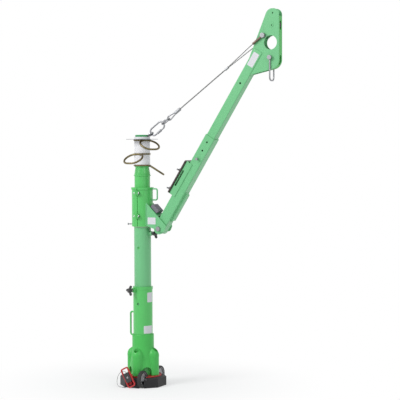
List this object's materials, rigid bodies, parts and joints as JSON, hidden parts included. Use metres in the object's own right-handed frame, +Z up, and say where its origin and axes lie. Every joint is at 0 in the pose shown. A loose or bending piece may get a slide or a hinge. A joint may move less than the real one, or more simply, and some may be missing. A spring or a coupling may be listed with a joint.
{
  "type": "davit crane",
  "caption": "Portable davit crane: weighted floor base, telescoping mast, swivelling collar with anchor rings, raked telescopic boom with sheave head and rope tie-back.",
  "frame": {"origin": "on the floor, on the axis of the mast", "axes": "+Z up along the mast, +X towards the boom head, +Y away from the foot pedal's side"},
  "size_m": [1.1559, 0.3593, 2.4884],
  "materials": {
    "green_paint": "satin paint on aluminium",
    "head_paint": "satin paint on aluminium plate",
    "black_base": "black paint on cast iron",
    "red_paint": "red paint",
    "bright_steel": "zinc plated",
    "wire_rope": "stranded wire",
    "black_knob": "matte",
    "wheel_metal": "cast",
    "tyre_rubber": "matte",
    "white_sleeve": "satin",
    "bearing_plastic": "matte",
    "ring_bronze": "olive plating on steel",
    "pad_rubber": "matte",
    "winch_black": "dark paint",
    "sheave_plastic": "matte"
  },
  "bodies": {
    "stand": {"base_block": "black_base", "base_plate": "red_paint", "mast_foot": "green_paint", "foot_bolts": "bright_steel", "lower_mast": "green_paint", "grab_handle": "green_paint", "wheel_axles": "bright_steel", "pedal_block": "red_paint", "lanyard": "wire_rope", "lanyard_pin": "bright_steel"},
    "lower_knob": {"lower_knob": "black_knob"},
    "wheel_near": {"wheel_rim_near": "wheel_metal", "wheel_tyre_near": "tyre_rubber"},
    "wheel_far": {"wheel_rim_far": "wheel_metal", "wheel_tyre_far": "tyre_rubber"},
    "pedal": {"rocker_pedal": "red_paint", "pedal_hub": "black_knob"},
    "mast": {"main_mast": "green_paint", "guide_bush": "bearing_plastic", "thrust_washer": "bearing_plastic"},
    "upper_knob": {"upper_knob": "black_knob"},
    "swivel": {"anchor_post": "green_paint", "ring_spacers": "white_sleeve", "retaining_disc": "bright_steel", "top_cap": "green_paint", "tie_eye": "bright_steel", "collar_sleeve": "green_paint", "collar_gussets": "green_paint", "cross_plate": "green_paint", "stop_pad": "pad_rubber", "carry_handle": "green_paint", "clamp_bolts": "bright_steel", "pivot_bolt": "bright_steel"},
    "ring_lower": {"anchor_ring_lower": "ring_bronze"},
    "ring_middle": {"anchor_ring_middle": "ring_bronze"},
    "ring_upper": {"anchor_ring_upper": "ring_bronze"},
    "collar_pin": {"collar_pin": "bright_steel"},
    "boom": {"boom_outer": "green_paint", "boom_rail": "green_paint", "winch_bracket": "green_paint", "winch_plate": "winch_black"},
    "lock_pin": {"lock_pin": "bright_steel"},
    "wing_lower": {"wing_screw_lower": "bright_steel"},
    "wing_upper": {"wing_screw_upper": "bright_steel"},
    "boom_head": {"boom_inner": "green_paint", "head_plate_near": "head_paint", "head_plate_far": "head_paint", "head_front": "head_paint", "head_bolts": "bright_steel", "tie_bolt": "bright_steel"},
    "sheave_upper": {"sheave_upper": "sheave_plastic"},
    "sheave_lower": {"sheave_lower": "sheave_plastic"},
    "bail": {"hoist_bail": "bright_steel"},
    "tie": {"carabiner": "bright_steel", "quick_link": "bright_steel", "thimble": "bright_steel", "tie_rope_near": "wire_rope", "tie_rope_far": "wire_rope", "rope_fittings": "bright_steel"},
    "gate": {"carabiner_gate": "bright_steel"}
  },
  "joints": [
    {"name": "mast_raise", "type": "slide", "parent": "stand", "child": "mast", "axis": [0, 0, 1], "range_m": [-0.3, 0]},
    {"name": "lower_knob_turn", "type": "hinge", "parent": "stand", "child": "lower_knob", "pos_m": [0, 0, 0.646], "axis": [-0.5, -0.866, 0], "continuous": true},
    {"name": "wheel_near_spin", "type": "hinge", "parent": "stand", "child": "wheel_near", "pos_m": [0.06, -0.118, 0.058], "axis": [1, 0, 0], "continuous": true},
    {"name": "wheel_far_spin", "type": "hinge", "parent": "stand", "child": "wheel_far", "pos_m": [0.06, 0.118, 0.058], "axis": [1, 0, 0], "continuous": true},
    {"name": "pedal_rock", "type": "hinge", "parent": "stand", "child": "pedal", "pos_m": [-0.02, -0.1723, 0.074], "axis": [0, 1, 0], "range_deg": [-15, 15]},
    {"name": "mast_slew", "type": "hinge", "parent": "mast", "child": "swivel", "pos_m": [0, 0, 1.073], "axis": [0, 0, 1], "continuous": true},
    {"name": "upper_knob_turn", "type": "hinge", "parent": "mast", "child": "upper_knob", "pos_m": [0, 0, 1.028], "axis": [1, 0, 0], "continuous": true},
    {"name": "ring_lower_turn", "type": "hinge", "parent": "swivel", "child": "ring_lower", "pos_m": [0, 0, 1.4848], "axis": [0, 0, 1], "continuous": true},
    {"name": "ring_middle_turn", "type": "hinge", "parent": "swivel", "child": "ring_middle", "pos_m": [0, 0, 1.5614], "axis": [0, 0, 1], "continuous": true},
    {"name": "ring_upper_turn", "type": "hinge", "parent": "swivel", "child": "ring_upper", "pos_m": [0, 0, 1.654], "axis": [0, 0, 1], "continuous": true},
    {"name": "collar_pin_pull", "type": "slide", "parent": "swivel", "child": "collar_pin", "axis": [-0.9511, -0.309, 0], "range_m": [0, 0.02]},
    {"name": "boom_luff", "type": "hinge", "parent": "swivel", "child": "boom", "pos_m": [0.145, 0, 1.063], "axis": [0, 1, 0], "range_deg": [0, 11.33]},
    {"name": "boom_extend", "type": "slide", "parent": "boom", "child": "boom_head", "axis": [0.5299, 0, 0.848], "range_m": [-0.12801, 0.00001]},
    {"name": "tie_swing", "type": "hinge", "parent": "swivel", "child": "tie", "pos_m": [0.0702, 0, 1.69589], "axis": [0, 1, 0], "range_deg": [0, 16.77]},
    {"name": "gate_open", "type": "hinge", "parent": "tie", "child": "gate", "pos_m": [0.1066, 0, 1.69064], "axis": [0, -1, 0], "range_deg": [0, 20], "stiffness_Nm_per_rad": 0.5},
    {"name": "lock_pin_push", "type": "slide", "parent": "boom", "child": "lock_pin", "axis": [0, 1, 0], "range_m": [0, 0.008]},
    {"name": "wing_lower_turn", "type": "hinge", "parent": "boom", "child": "wing_lower", "pos_m": [0.21652, 0, 1.32843], "axis": [-0.848, 0, 0.5299], "continuous": true},
    {"name": "wing_upper_turn", "type": "hinge", "parent": "boom", "child": "wing_upper", "pos_m": [0.29283, 0, 1.45055], "axis": [-0.848, 0, 0.5299], "continuous": true},
    {"name": "sheave_upper_spin", "type": "hinge", "parent": "boom_head", "child": "sheave_upper", "pos_m": [0.96087, 0, 2.38143], "axis": [0, 1, 0], "continuous": true},
    {"name": "sheave_lower_spin", "type": "hinge", "parent": "boom_head", "child": "sheave_lower", "pos_m": [0.94987, 0, 2.17743], "axis": [0, 1, 0], "continuous": true},
    {"name": "bail_swing", "type": "hinge", "parent": "boom_head", "child": "bail", "pos_m": [0.94987, 0, 2.17743], "axis": [0, 1, 0], "range_deg": [-75, 25]}
  ],
  "couplings": [
    {"joint": "boom_extend", "follows": "boom_luff", "m_per_rad": -0.64706},
    {"joint": "tie_swing", "follows": "boom_luff", "ratio": 1.4794}
  ]
}
